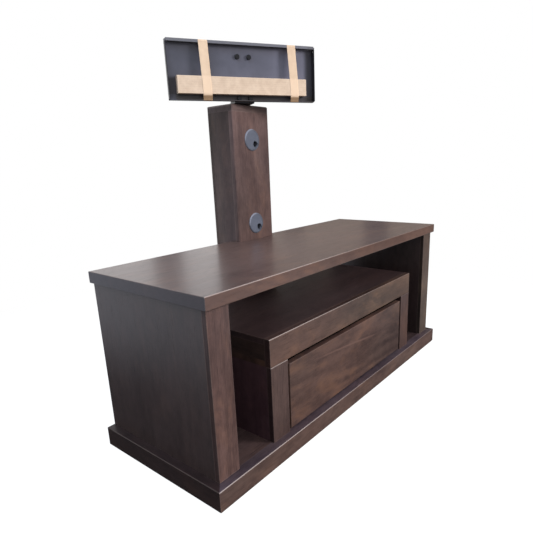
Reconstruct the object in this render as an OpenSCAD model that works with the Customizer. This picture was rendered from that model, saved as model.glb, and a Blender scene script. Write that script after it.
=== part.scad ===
// Low media stand with a rear column that carries a swivelling screen bracket.
// Millimetres, +Z up, front towards -Y. The origin is on the floor, on the centre line,
// midway between the front and the back of the plinth.

/* [Side panels] */
// Width over the two side panels
body_w = 1196; // [1100:1:1500]
// Depth of the side panels, front to back
body_d = 430; // [400:1:520]
// Height of the side panels, from plinth to top
body_h = 415; // [380:1:520]
// Thickness of a hollow side panel
side_w = 66; // [60:1:90]
// Thickness of the panel boards
board_t = 16; // [14:1:20]
// Thickness of the solid edging on the front of the panels
edging_t = 14; // [10:1:20]
// Radius on the visible front edges
ease_r = 2; // [1:0.5:4]

/* [Top] */
// Thickness of the top panel
top_t = 31; // [25:1:40]
// Overhang of the top beyond each side panel
top_side = 8; // [2:1:20]
// Overhang of the top in front of the side panels
top_front = 10; // [2:1:20]
// Overhang of the top behind the side panels
top_back = 5; // [1:1:20]

/* [Plinth] */
// Height of the plinth
plinth_h = 54; // [45:1:90]
// How far the plinth stands proud of the side panels at the front and the sides
plinth_proud = 23; // [5:1:28]
// Thickness of the plinth's rails
rail_t = 30; // [20:1:40]
// Thickness of the base panel between the rails
base_t = 18; // [16:1:22]

/* [Inner unit] */
// Width of the inner unit
inner_w = 812; // [700:1:880]
// Height of the inner unit above the base panel
inner_h = 285; // [270:1:330]
// Height of the inner unit's top slab
slab_h = 75; // [60:1:80]
// Width of each leg of the inner unit
leg_w = 68; // [60:1:90]
// How far the leg stiles stand proud of the rail above them
leg_proud = 1; // [0.5:0.5:3]
// Thickness of the inner unit's front rail
front_rail_t = 18; // [15:1:25]

/* [Drawer] */
// Gap beside the drawer front, each side
side_gap = 7; // [3:0.5:10]
// Finger gap above the drawer front
finger_gap = 16; // [12:1:24]
// Gap under the drawer front
under_gap = 5; // [3:0.5:10]
// Thickness of the drawer front
drawer_front_t = 18; // [16:1:25]
// Thickness of the drawer box boards
drawer_board_t = 14; // [12:1:16]
// Thickness of the drawer bottom
drawer_bottom_t = 6; // [4:1:8]
// Height of the drawer box
drawer_box_h = 140; // [120:1:155]
// Space between the drawer box and the inner unit's back panel
drawer_back_clear = 22; // [12:1:60]
// Height of the drawer box above the base panel
drawer_box_z = 18; // [14:1:24]

/* [Drawer slides] */
// Distance from each end of the drawer box to the slides
slide_end_gap = 5; // [1:1:20]
// Height of each slide
slide_h = 45; // [40:1:50]
// Thickness of a slide over its three members
slide_t = 13; // [12.5:0.5:15]
// Thickness of the slide steel
slide_sheet = 1.5; // [1:0.1:1.6]
// Running gap between slide members
slide_run = 0.3; // [0.2:0.05:0.4]

/* [Column] */
// Width of the column
column_w = 174; // [160:1:240]
// Depth of the column, front to back
column_d = 114; // [100:1:160]
// Height of the column above the floor
column_h = 940; // [800:1:1100]
// How far the column is let into the back edge of the top
column_let_in = 39; // [30:1:60]
// Radius on the column's upright edges
column_r = 5; // [2:0.5:7]
// Thickness of the cap that closes the column
cap_t = 22; // [20:1:30]
// Radius on the cap's top edges at its left and right ends
cap_end_r = 9; // [5:1:14]
// Gap round the column where it passes the top and the base
column_clear = 0.5; // [0.3:0.1:2]

/* [Cable grommets] */
// Diameter of the cable hole in the column
grommet_hole_d = 60; // [50:1:70]
// Width of the grommet's flange round the hole
flange_rim = 5; // [5:0.5:8]
// Distance from the column's top to the centre of the upper grommet
upper_grommet_drop = 109; // [80:1:200]
// Distance from the top panel to the centre of the lower grommet
lower_grommet_rise = 55; // [45:1:100]
// Width of the cable slot in the grommet cap
cable_slot_w = 20; // [12:1:22]
// Angle of the cable slot about the cap, from straight up, clockwise seen from the front
cable_slot_turn = 135; // [0:5:355]

/* [Bracket pan] */
// Turn of the bracket about the column, negative towards the left
bracket_turn = -30; // [-45:1:45]
// Width of the pan
pan_w = 473; // [400:1:700]
// Height of the pan
pan_h = 167; // [160:1:250]
// Depth of the pan
pan_d = 20; // [20:1:40]
// Thickness of the pan's steel
pan_t = 2; // [1.5:0.5:3]
// Distance from the swivel axis to the pan's front rim
pan_reach = 106; // [100:1:140]
// Gap between the column's top and the pan
pan_lift = 5; // [4:0.5:8]
// Height of the lip on the pan's top edge
top_lip_h = 8; // [5:1:15]
// Diameter of the locking hole in each end of the pan
lock_hole_d = 5; // [4:0.5:8]

/* [Swivel arm] */
// Width of the swivel arm
arm_w = 64; // [64:1:90]
// Thickness of the swivel arm's steel
arm_t = 6; // [5:0.5:8]
// Height of the arm's upright above the pan's bottom
arm_rise = 149; // [130:1:155]
// Spacing of the bracket bolts across the arm
bolt_spacing = 37; // [32:1:40]
// Distance from the arm's top to the upper bolts
upper_bolt_drop = 20; // [12:1:24]
// Diameter of the pivot bolt
pivot_d = 16; // [12:1:16]

/* [Carton and tape] */
// Space beside the carton in the pan, each side
carton_side_gap = 28; // [5:1:60]
// Height of the carton
carton_h = 50; // [30:1:60]
// Depth of the carton, front to back
carton_d = 24; // [15:1:31]
// Width of the tape
tape_w = 28; // [15:1:50]
// Thickness of the tape
tape_t = 0.5; // [0.3:0.1:0.8]

/* [Hidden] */
$fn = 64;

// Colours of the finishes
stain = [0.24, 0.19, 0.18];
front_stain = [0.38, 0.31, 0.28];
raw_board = [0.72, 0.58, 0.42];
zinc = [0.72, 0.73, 0.75];
black_steel = [0.22, 0.22, 0.25];
black_plastic = [0.10, 0.10, 0.11];

// Fits: a loose bolt in its hole, a screw or dowel in its bore, and a part let into another
fit_r = 0.1;
bore_r = 0.05;
seat_gap = 0.2;

// Levels and planes of the cabinet
plinth_w = body_w + 2 * plinth_proud;
plinth_d = body_d + plinth_proud;
plinth_front = -plinth_d / 2;
plinth_back = plinth_d / 2;
side_x = body_w / 2;
body_front = plinth_front + plinth_proud;
body_back = plinth_back;
top_z = plinth_h + body_h;
cabinet_h = top_z + top_t;
top_w = body_w + 2 * top_side;
top_y = [body_front - top_front, body_back + top_back];
core_y = body_front + edging_t;

// The column stands behind the inner unit, from the floor up
column_front = top_y[1] - column_let_in;
column_back = column_front + column_d;
column_mid = (column_front + column_back) / 2;
column_x = column_w / 2;
column_passage = column_front - column_clear;
base_y = [plinth_front + rail_t, column_passage];

// The inner unit runs from the side panels' front plane back to the column
inner_x = inner_w / 2;
inner_z = plinth_h + inner_h;
slab_z = inner_z - slab_h;
bay_x = inner_x - leg_w;
stile_t = edging_t + leg_proud;
leg_front = body_front - leg_proud;
leg_core_y = leg_front + stile_t;
slab_core_y = body_front + front_rail_t;
inner_back_y = column_front - board_t;

// Core rails inside the hollow panels
core_rail_h = 30;
side_core_w = side_w - 2 * board_t;
leg_core_w = leg_w - 2 * board_t;

// Dowels: the same size everywhere, the long end in the rail and the short end in the board
dowel_d = 8;
dowel_in_rail = 20;
dowel_in_board = 10;
dowel_end_gap = 0.5;
side_dowel_count = 4;
leg_dowel_count = 3;
dowel_inset = 60;
column_dowel_spacing = 50;

// Screws for boards
screw_d = 4;
screw_head_d = 8;
screw_head_h = 3;
screw_l = 28;

// Drawer
drawer_front_x = bay_x - side_gap;
drawer_z = plinth_h + under_gap;
drawer_top = slab_z - finger_gap;
box_front = body_front + drawer_front_t;
drawer_box_d = inner_back_y - drawer_back_clear - box_front;
box_back = box_front + drawer_box_d;
box_x = bay_x - slide_t;
box_z = plinth_h + drawer_box_z;
box_top = box_z + drawer_box_h;
groove_d = 6;
groove_rise = 12;
groove_gap = 0.2;

// Drawer slides, centred on the height of the drawer box
slide_z = (box_z + box_top) / 2;
slide_l = drawer_box_d - 2 * slide_end_gap;
slide_y = [box_front + slide_end_gap, box_front + slide_end_gap + slide_l];
slide_edge = 0.8;
slide_screw_inset = 60;
slide_screw_l = 13;
drawer_screw_x = 200;
drawer_screw_inset = 35;

// Grommets
upper_grommet_z = column_h - upper_grommet_drop;
lower_grommet_z = cabinet_h + lower_grommet_rise;
flange_d = grommet_hole_d + 2 * flange_rim;
sleeve_wall = 2.5;
sleeve_l = board_t;
flange_t = 3;
seat_t = 1;
cap_disc_t = 1.8;
cap_skirt_wall = 2;
cap_skirt_l = 8;
sleeve_r = grommet_hole_d / 2 - bore_r;
sleeve_bore_r = sleeve_r - sleeve_wall;
cap_skirt_r = sleeve_bore_r - bore_r;
cap_gap = 0.3;
cap_disc_r = grommet_hole_d / 2 + cap_gap;
cap_recess_r = cap_disc_r + cap_gap;
cable_slot_r = cable_slot_w / 2;
cable_slot_edge = 2;
cable_slot_reach = cap_disc_r - cable_slot_r - cable_slot_edge;

// Swivel
plate_w = 100;
plate_d = 76;
plate_t = 5;
plate_screw_inset = 10;
plate_screw_x = plate_w / 2 - plate_screw_inset;
plate_screw_y = plate_d / 2 - plate_screw_inset;
plate_screw_d = 5;
plate_screw_head_d = 10;
plate_screw_l = 17;
friction_t = 1;
friction_d = 60;
pivot_af = 1.5 * pivot_d;
pivot_head_h = 10;
pivot_nut_h = 13;
pivot_washer_d = 34;
pivot_washer_t = 3;
turn_gap = 0.05;
foot_z = column_h + friction_t + turn_gap;
arm_washer_z = foot_z + arm_t + turn_gap;
pan_z = column_h + pan_lift;
pan_top = pan_z + pan_h;
pan_back_y = -pan_reach + pan_d;
pan_inner_y = pan_back_y - pan_t;
pan_x = pan_w / 2;
lip_inset = 3;
lock_hole_back = 9;
lock_hole_drop = 14;
arm_x = arm_w / 2;
gusset_t = 4;
gusset_rise = 60;
gusset_run = 50;
bolt_d = 8;
bolt_af = 13;
bolt_head_h = 5.3;
bolt_flange_d = 15;
bolt_flange_t = 1.6;
bolt_nut_h = 6.5;
bolt_tail = 4;
nut_gap = 0.45;
lower_bolt_z = max(foot_z + arm_t + nut_gap + bolt_af / 2, pan_z + pan_t + seat_gap + bolt_flange_d / 2);
upper_bolt_z = pan_z + arm_rise - upper_bolt_drop;

// Carton and tape, in the bracket's own frame
carton_w = pan_w - 2 * pan_t - 2 * carton_side_gap;
carton_x = -4;
carton_z = lower_bolt_z + bolt_flange_d / 2 + seat_gap;
tape_left_x = -124;
tape_right_x = 159;
tape_fold = 15;

// A block between two planes along each axis
module span(x, y, z) {
    translate([x[0], y[0], z[0]]) cube([x[1] - x[0], y[1] - y[0], z[1] - z[0]]);
}

// Outline whose two corners at u = 0 are rounded; u is its depth and v its width
module front_rounded(depth, width, r) {
    translate([r, 0]) square([depth - r, width]);
    translate([0, r]) square([depth, width - 2 * r]);
    for (v = [r, width - r]) translate([r, v]) circle(r);
}

// Outline with all four corners rounded
module all_rounded(depth, width, r) {
    translate([r, 0]) square([depth - 2 * r, width]);
    translate([0, r]) square([depth, width - 2 * r]);
    for (u = [r, depth - r], v = [r, width - r]) translate([u, v]) circle(r);
}

// A bar along X whose front edges, above and below, are eased
module eased_rail(x, y, z, r = ease_r) {
    translate([x[0], y[0], z[0]]) rotate([90, 0, 90]) linear_extrude(x[1] - x[0])
        front_rounded(y[1] - y[0], z[1] - z[0], r);
}

// An upright bar whose front edges, left and right, are eased
module eased_stile(x, y, z, r = ease_r) {
    translate([x[0], y[0], z[0]]) linear_extrude(z[1] - z[0]) mirror([1, -1, 0])
        front_rounded(y[1] - y[0], x[1] - x[0], r);
}

// The two mirror images of a thing about the centre plane
module both_sides() {
    children();
    mirror([1, 0, 0]) children();
}

// Evenly spaced places from a to b
function spread(a, b, n) = [for (i = [0 : n - 1]) a + (b - a) * i / (n - 1)];

// A hexagonal prism standing on z = 0, its flats facing along Y
module hexagon(across_flats, h) {
    intersection_for(turn = [0, 60, 120])
        rotate([0, 0, turn]) translate([-across_flats, -across_flats / 2, 0])
            cube([2 * across_flats, across_flats, h]);
}

// A round disc or tube standing on z = 0, with its hole right through
module ring(d, hole_r, h) difference() {
    cylinder(h = h, r = d / 2);
    translate([0, 0, -1]) cylinder(h = h + 2, r = hole_r);
}

// A countersunk screw whose head is flush at z = 0 and whose tip points down
module screw(d, head_d, head_h, l, gap = 0) {
    translate([0, 0, -l - gap]) cylinder(h = l + gap, r = d / 2 + gap);
    translate([0, 0, -head_h]) cylinder(h = head_h, r1 = d / 2 + gap, r2 = head_d / 2 + gap);
}

// Places of the upright dowels: x, y, and the level of the joint with the rail's side, +1 or -1
dowel_side_x = side_x - side_w / 2;
dowel_leg_x = inner_x - leg_w / 2;
side_dowel_y = spread(core_y + dowel_inset, body_back - dowel_inset, side_dowel_count);
leg_dowel_y = spread(leg_core_y + dowel_inset, inner_back_y - dowel_inset, leg_dowel_count);
column_side_x = column_x - board_t / 2;
column_dowel_y = [column_mid - column_dowel_spacing / 2, column_mid + column_dowel_spacing / 2];
dowel_places = [
    for (s = [-1, 1], y = side_dowel_y) [s * dowel_side_x, y, plinth_h, 1],
    for (s = [-1, 1], y = side_dowel_y) [s * dowel_side_x, y, top_z, -1],
    for (s = [-1, 1], y = leg_dowel_y) [s * dowel_leg_x, y, plinth_h, 1],
    for (s = [-1, 1], y = leg_dowel_y) [s * dowel_leg_x, y, slab_z, -1],
    for (s = [-1, 1], y = column_dowel_y) [s * column_side_x, y, column_h - cap_t, -1]
];

// Every dowel, or with a gap the bores that hold them
module all_dowels(gap = 0, end_gap = 0) {
    for (p = dowel_places) {
        below = (p[3] > 0 ? dowel_in_board : dowel_in_rail) + end_gap;
        above = (p[3] > 0 ? dowel_in_rail : dowel_in_board) + end_gap;
        translate([p[0], p[1], p[2] - below]) cylinder(h = below + above, r = dowel_d / 2 + gap);
    }
}
module dowel_bores() all_dowels(bore_r, dowel_end_gap);
module dowels() color(raw_board) all_dowels();

// Plinth: rails mitred at the front corners, and a base panel flush with their top
module plinth_front_rail() color(front_stain)
    intersection() {
        eased_rail([-plinth_w / 2, plinth_w / 2], [plinth_front, plinth_front + rail_t], [0, plinth_h]);
        linear_extrude(plinth_h) polygon([
            [-plinth_w / 2, plinth_front], [plinth_w / 2, plinth_front],
            [plinth_w / 2 - rail_t, plinth_front + rail_t], [-plinth_w / 2 + rail_t, plinth_front + rail_t]
        ]);
    }
module plinth_side_rail() color(stain)
    intersection() {
        translate([-plinth_w / 2, plinth_back, 0]) rotate([90, 0, 0]) linear_extrude(plinth_d)
            front_rounded(rail_t, plinth_h, ease_r);
        linear_extrude(plinth_h) polygon([
            [-plinth_w / 2, plinth_front], [-plinth_w / 2 + rail_t, plinth_front + rail_t],
            [-plinth_w / 2 + rail_t, plinth_back], [-plinth_w / 2, plinth_back]
        ]);
    }
module plinth_left_rail() plinth_side_rail();
module plinth_right_rail() mirror([1, 0, 0]) plinth_side_rail();
module plinth_rear_rails() color(stain)
    both_sides()
        span([column_x + column_clear, plinth_w / 2 - rail_t], [column_passage, plinth_back], [0, plinth_h]);
module plinth_bearers() color(raw_board)
    for (x = [-dowel_side_x, -dowel_leg_x, 0, dowel_leg_x, dowel_side_x])
        span([x - rail_t / 2, x + rail_t / 2], base_y, [0, plinth_h - base_t]);
module base_panel() color(stain)
    difference() {
        span([-plinth_w / 2 + rail_t, plinth_w / 2 - rail_t], base_y, [plinth_h - base_t, plinth_h]);
        dowel_bores();
    }

// Side panels: two boards on core rails, with a solid edging across the front
module side_outer_board() color(stain)
    span([-side_x, -side_x + board_t], [core_y, body_back], [plinth_h, top_z]);
module side_inner_board() color(stain)
    span([-side_x + side_w - board_t, -side_x + side_w], [core_y, body_back], [plinth_h, top_z]);
module side_edging() color(front_stain)
    eased_stile([-side_x, -side_x + side_w], [body_front, core_y], [plinth_h, top_z]);
module side_core_rails() color(raw_board)
    difference() {
        union() {
            for (z = [plinth_h, top_z - core_rail_h])
                span([-side_x + board_t, -side_x + board_t + side_core_w], [core_y, body_back - board_t],
                    [z, z + core_rail_h]);
            span([-side_x + board_t, -side_x + board_t + side_core_w], [body_back - board_t, body_back],
                [plinth_h, top_z]);
        }
        dowel_bores();
    }
module left_side_outer_board() side_outer_board();
module left_side_inner_board() side_inner_board();
module left_side_edging() side_edging();
module left_side_core_rails() side_core_rails();
module right_side_outer_board() mirror([1, 0, 0]) side_outer_board();
module right_side_inner_board() mirror([1, 0, 0]) side_inner_board();
module right_side_edging() mirror([1, 0, 0]) side_edging();
module right_side_core_rails() mirror([1, 0, 0]) side_core_rails();

// Top panel, eased all round and let in for the column
module top_panel() color(stain)
    difference() {
        intersection() {
            translate([-top_w / 2, top_y[0], top_z]) rotate([90, 0, 90]) linear_extrude(top_w)
                all_rounded(top_y[1] - top_y[0], top_t, ease_r);
            translate([-top_w / 2, top_y[1], top_z]) rotate([90, 0, 0]) linear_extrude(top_y[1] - top_y[0])
                all_rounded(top_w, top_t, ease_r);
        }
        span([-column_x - column_clear, column_x + column_clear], [column_passage, top_y[1] + 1],
            [top_z - 1, cabinet_h + 1]);
        dowel_bores();
        column_screw_bores();
    }

// Inner unit: a hollow slab on two hollow legs
module inner_top_board() color(stain)
    span([-inner_x, inner_x], [slab_core_y, column_front], [inner_z - board_t, inner_z]);
module inner_front_rail() color(front_stain)
    eased_rail([-inner_x, inner_x], [body_front, slab_core_y], [slab_z, inner_z]);
module inner_under_board() color(stain)
    difference() {
        span([-inner_x, inner_x], [slab_core_y, column_front], [slab_z, slab_z + board_t]);
        dowel_bores();
    }
module leg_outer_board() color(stain)
    span([-inner_x, -inner_x + board_t], [leg_core_y, column_front], [plinth_h, slab_z]);
module leg_inner_board() color(stain)
    difference() {
        span([-bay_x - board_t, -bay_x], [leg_core_y, column_front], [plinth_h, slab_z]);
        cabinet_slide_screw_bores();
    }
module leg_stile() color(front_stain)
    eased_stile([-inner_x, -bay_x], [leg_front, leg_core_y], [plinth_h, slab_z]);
module left_leg_outer_board() leg_outer_board();
module left_leg_inner_board() leg_inner_board();
module left_leg_stile() leg_stile();
module right_leg_outer_board() mirror([1, 0, 0]) leg_outer_board();
module right_leg_inner_board() mirror([1, 0, 0]) leg_inner_board();
module right_leg_stile() mirror([1, 0, 0]) leg_stile();
module inner_core_rails() color(raw_board)
    difference() {
        slab = [slab_z + board_t, inner_z - board_t];
        leg_core = [inner_x - board_t - leg_core_w, inner_x - board_t];
        union() {
            span([-inner_x, inner_x], [inner_back_y, column_front], slab);
            both_sides() {
                span([inner_x - board_t, inner_x], [slab_core_y, inner_back_y], slab);
                for (z = [plinth_h, slab_z - core_rail_h])
                    span(leg_core, [leg_core_y, inner_back_y], [z, z + core_rail_h]);
                span(leg_core, [inner_back_y, column_front], [plinth_h, slab_z]);
            }
        }
        dowel_bores();
        column_screw_bores();
    }
module inner_back_panel() color(stain)
    difference() {
        span([-bay_x, bay_x], [inner_back_y, column_front], [plinth_h, slab_z]);
        column_screw_bores();
    }

// Drawer: an eased front on a box whose bottom is let into grooves
module drawer_front() color(front_stain)
    difference() {
        intersection() {
            eased_rail([-drawer_front_x, drawer_front_x], [body_front, box_front], [drawer_z, drawer_top]);
            eased_stile([-drawer_front_x, drawer_front_x], [body_front, box_front], [drawer_z, drawer_top]);
        }
        drawer_front_screw_bores();
    }
groove_x = box_x - drawer_board_t + groove_d;
groove_y = [box_front + drawer_board_t - groove_d, box_back - drawer_board_t + groove_d];
groove_z = box_z + groove_rise;
module bottom_groove()
    span([-groove_x, groove_x], groove_y, [groove_z, groove_z + drawer_bottom_t + groove_gap]);
module drawer_box_front() color(raw_board)
    difference() {
        span([-box_x + drawer_board_t, box_x - drawer_board_t], [box_front, box_front + drawer_board_t],
            [box_z, box_top]);
        bottom_groove();
        drawer_front_screw_bores();
    }
module drawer_back() color(raw_board)
    difference() {
        span([-box_x + drawer_board_t, box_x - drawer_board_t], [box_back - drawer_board_t, box_back],
            [box_z, box_top]);
        bottom_groove();
    }
module drawer_side() color(raw_board)
    difference() {
        span([-box_x, -box_x + drawer_board_t], [box_front, box_back], [box_z, box_top]);
        bottom_groove();
        drawer_slide_screw_bores();
    }
module drawer_left_side() drawer_side();
module drawer_right_side() mirror([1, 0, 0]) drawer_side();
module drawer_bottom() color(raw_board)
    span([-groove_x + groove_gap, groove_x - groove_gap], [groove_y[0] + groove_gap, groove_y[1] - groove_gap],
        [groove_z, groove_z + drawer_bottom_t]);

// Slides: three nested channels a side; the outer one on the leg, the inner one on the drawer
module channel(web_x, edge_x, half_h) {
    flange_x = [min(web_x[0], edge_x), max(web_x[1], edge_x)];
    for (z = [slide_z - half_h, slide_z + half_h - slide_sheet])
        span(flange_x, slide_y, [z, z + slide_sheet]);
    span(web_x, slide_y, [slide_z - half_h, slide_z + half_h]);
}
slide_step = slide_sheet + slide_run;
module cabinet_channel() color(zinc)
    difference() {
        channel([-bay_x, -bay_x + slide_sheet], -box_x - slide_sheet - slide_edge, slide_h / 2);
        cabinet_slide_screw_bores();
    }
module middle_channel() color(zinc)
    channel([-bay_x + slide_step, -bay_x + slide_step + slide_sheet], -box_x - slide_edge,
        slide_h / 2 - slide_step);
module drawer_channel() color(zinc)
    difference() {
        channel([-box_x - slide_sheet, -box_x], -bay_x + 2 * slide_step + slide_edge,
            slide_h / 2 - 2 * slide_step);
        drawer_slide_screw_bores();
    }
module slide_cabinet_members() both_sides() cabinet_channel();
module slide_middle_members() both_sides() middle_channel();
module slide_drawer_members() both_sides() drawer_channel();

// Screws of the slides and of the drawer front
slide_screw_y = [slide_y[0] + slide_screw_inset, slide_y[1] - slide_screw_inset];
module slide_screw(gap = 0) screw(screw_d, screw_d + 2 * slide_sheet, slide_sheet, slide_screw_l, gap);
module cabinet_slide_screw_set(gap = 0)
    for (y = slide_screw_y)
        translate([-bay_x + slide_sheet, y, slide_z]) rotate([0, 90, 0]) slide_screw(gap);
module drawer_slide_screw_set(gap = 0)
    for (y = slide_screw_y)
        translate([-box_x - slide_sheet, y, slide_z]) rotate([0, -90, 0]) slide_screw(gap);
drawer_screw_z = [box_z + drawer_screw_inset, box_top - drawer_screw_inset];
module drawer_front_screw_set(gap = 0)
    for (x = [-drawer_screw_x, drawer_screw_x], z = drawer_screw_z)
        translate([x, box_front + drawer_board_t, z]) rotate([-90, 0, 0])
            screw(screw_d, screw_head_d, screw_head_h, screw_l, gap);
module cabinet_slide_screw_bores() cabinet_slide_screw_set(bore_r);
module drawer_slide_screw_bores() drawer_slide_screw_set(bore_r);
module drawer_front_screw_bores() drawer_front_screw_set(bore_r);
module slide_screws() color(zinc) both_sides() cabinet_slide_screw_set();
module drawer_screws() color(zinc) {
    both_sides() drawer_slide_screw_set();
    drawer_front_screw_set();
}

// Column: four boards round a cable duct, closed by a cap
wall_z = [0, column_h - cap_t];
module column_front_board() color(front_stain)
    difference() {
        eased_stile([-column_x, column_x], [column_front, column_front + board_t], wall_z, column_r);
        for (z = [upper_grommet_z, lower_grommet_z])
            translate([0, column_front - 1, z]) rotate([-90, 0, 0])
                cylinder(h = board_t + 2, r = grommet_hole_d / 2);
        column_screw_bores();
    }
module column_rear_board() color(stain)
    difference() {
        mirror([0, 1, 0])
            eased_stile([-column_x, column_x], [-column_back, -column_back + board_t], wall_z, column_r);
        column_screw_bores();
    }
module column_side_board() color(stain)
    difference() {
        span([-column_x, -column_x + board_t], [column_front + board_t, column_back - board_t], wall_z);
        dowel_bores();
        column_screw_bores();
    }
module column_left_board() column_side_board();
module column_right_board() mirror([1, 0, 0]) column_side_board();
module column_cap() color(stain)
    difference() {
        intersection() {
            translate([-column_x, column_front, wall_z[1]]) linear_extrude(cap_t)
                all_rounded(column_w, column_d, column_r);
            translate([-column_x, column_front, wall_z[1] - column_r]) rotate([90, 0, 90])
                linear_extrude(column_w) all_rounded(column_d, cap_t + column_r, column_r);
            translate([-column_x, column_back, wall_z[1] - cap_end_r]) rotate([90, 0, 0])
                linear_extrude(column_d) all_rounded(column_w, cap_t + cap_end_r, cap_end_r);
        }
        span([-plate_w / 2 - seat_gap, plate_w / 2 + seat_gap],
            [column_mid - plate_d / 2 - seat_gap, column_mid + plate_d / 2 + seat_gap],
            [column_h - plate_t, column_h + 1]);
        translate([0, column_mid, wall_z[1] - 1]) cylinder(h = cap_t + 2, r = pivot_d / 2 + seat_gap);
        dowel_bores();
        plate_screw_bores();
    }

// Screws of the column: from inside into the inner unit and the top, and through the rear board
fixing_x = column_x / 2;
fixing_drop = 9;
rear_screw_inset = [60, 40];
fixing_z = [(plinth_h + slab_z) / 2 - fixing_drop, (slab_z + inner_z) / 2, top_z + top_t / 2];
rear_screw_z = spread(rear_screw_inset[0], wall_z[1] - rear_screw_inset[1], 4);
module column_screw_set(gap = 0) {
    for (x = [-fixing_x, fixing_x], z = fixing_z)
        translate([x, column_front + board_t, z]) rotate([-90, 0, 0])
            screw(screw_d, screw_head_d, screw_head_h, screw_l, gap);
    for (x = [-column_side_x, column_side_x], z = rear_screw_z)
        translate([x, column_back, z]) rotate([-90, 0, 0])
            screw(screw_d, screw_head_d, screw_head_h, screw_l, gap);
}
module column_screw_bores() column_screw_set(bore_r);
module column_screws() color(zinc) column_screw_set();

// Cable grommets: a flanged liner in the board, and a slotted cap that turns in it
module facing_front(z) translate([0, column_front, z]) rotate([90, 0, 0]) children();
module grommet_liner() color(black_plastic)
    rotate_extrude() {
        translate([sleeve_bore_r, -sleeve_l]) square([sleeve_wall, sleeve_l]);
        translate([sleeve_bore_r, 0]) square([flange_d / 2 - sleeve_bore_r - flange_t, seat_t]);
        translate([cap_recess_r, 0]) square([flange_d / 2 - cap_recess_r - flange_t, flange_t]);
        intersection() {
            translate([flange_d / 2 - flange_t, 0]) circle(flange_t);
            translate([cap_recess_r, 0]) square(flange_d);
        }
    }
module grommet_liners() {
    facing_front(upper_grommet_z) grommet_liner();
    facing_front(lower_grommet_z) grommet_liner();
}
module grommet_cap() color(black_plastic)
    difference() {
        union() {
            translate([0, 0, seat_t]) cylinder(h = cap_disc_t, r = cap_disc_r);
            translate([0, 0, -cap_skirt_l])
                ring(2 * cap_skirt_r, cap_skirt_r - cap_skirt_wall, cap_skirt_l + seat_t);
        }
        rotate([0, 0, 90 - cable_slot_turn]) translate([0, 0, -cap_skirt_l - 1]) {
            translate([cable_slot_reach, 0, 0]) cylinder(h = cap_skirt_l + 5, r = cable_slot_r);
            translate([cable_slot_reach, -cable_slot_r, 0]) cube([cap_disc_r, cable_slot_w, cap_skirt_l + 5]);
        }
    }
module upper_grommet_cap() facing_front(upper_grommet_z) grommet_cap();
module lower_grommet_cap() facing_front(lower_grommet_z) grommet_cap();

// Swivel: a steel plate let into the cap, a friction washer, and the bolt that the arm turns on
module on_axis(z = 0) translate([0, column_mid, z]) children();
module plate_screw_set(gap = 0)
    for (x = [-1, 1], y = [-1, 1])
        on_axis(column_h) translate([x * plate_screw_x, y * plate_screw_y, 0])
            screw(plate_screw_d, plate_screw_head_d, screw_head_h, plate_screw_l, gap);
module plate_screw_bores() plate_screw_set(bore_r);
module swivel_plate_screws() color(zinc) plate_screw_set();
module swivel_base_plate() color(black_steel)
    difference() {
        on_axis(column_h - plate_t)
            span([-plate_w / 2, plate_w / 2], [-plate_d / 2, plate_d / 2], [0, plate_t]);
        on_axis(column_h - plate_t - 1) cylinder(h = plate_t + 2, r = pivot_d / 2 + fit_r);
        plate_screw_bores();
    }
module friction_washer() color("white") on_axis(column_h) ring(friction_d, pivot_d / 2 + fit_r, friction_t);
module pivot_washers() color(zinc) {
    on_axis(arm_washer_z) ring(pivot_washer_d, pivot_d / 2 + fit_r, pivot_washer_t);
    on_axis(wall_z[1] - pivot_washer_t) ring(pivot_washer_d, pivot_d / 2 + fit_r, pivot_washer_t);
}
pivot_nut_z = wall_z[1] - pivot_washer_t - pivot_nut_h;
module pivot_bolt() color(zinc) {
    on_axis(arm_washer_z + pivot_washer_t) hexagon(pivot_af, pivot_head_h);
    on_axis(pivot_nut_z - bolt_tail)
        cylinder(h = arm_washer_z + pivot_washer_t - pivot_nut_z + bolt_tail, r = pivot_d / 2);
}
module pivot_nut() color(zinc) on_axis(pivot_nut_z)
    difference() {
        hexagon(pivot_af, pivot_nut_h);
        translate([0, 0, -1]) cylinder(h = pivot_nut_h + 2, r = pivot_d / 2 + bore_r);
    }

// Everything that turns with the bracket is drawn straight ahead and then turned
module turned() on_axis() rotate([0, 0, bracket_turn]) children();
bolt_places = [for (x = [-1, 1], z = [lower_bolt_z, upper_bolt_z]) [x * bolt_spacing / 2, z]];
module bolt_bores()
    for (p = bolt_places) translate([p[0], pan_inner_y - 1, p[1]]) rotate([-90, 0, 0])
        cylinder(h = pan_t + arm_t + 2, r = bolt_d / 2 + fit_r);
module swivel_arm() color(black_steel) turned()
    difference() {
        upright_y = [pan_back_y, pan_back_y + arm_t];
        union() {
            span([-arm_x, arm_x], [pan_back_y, 0], [foot_z, foot_z + arm_t]);
            translate([0, 0, foot_z]) cylinder(h = arm_t, r = arm_x);
            span([-arm_x, arm_x], upright_y, [foot_z, pan_z + arm_rise]);
            for (x = [-arm_x, arm_x - gusset_t])
                translate([x, upright_y[1], foot_z + arm_t]) rotate([90, 0, 90]) linear_extrude(gusset_t)
                    polygon([[0, 0], [gusset_run, 0], [0, gusset_rise]]);
        }
        translate([0, 0, foot_z - 1]) cylinder(h = arm_t + 2, r = pivot_d / 2 + bore_r);
        bolt_bores();
    }
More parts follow.
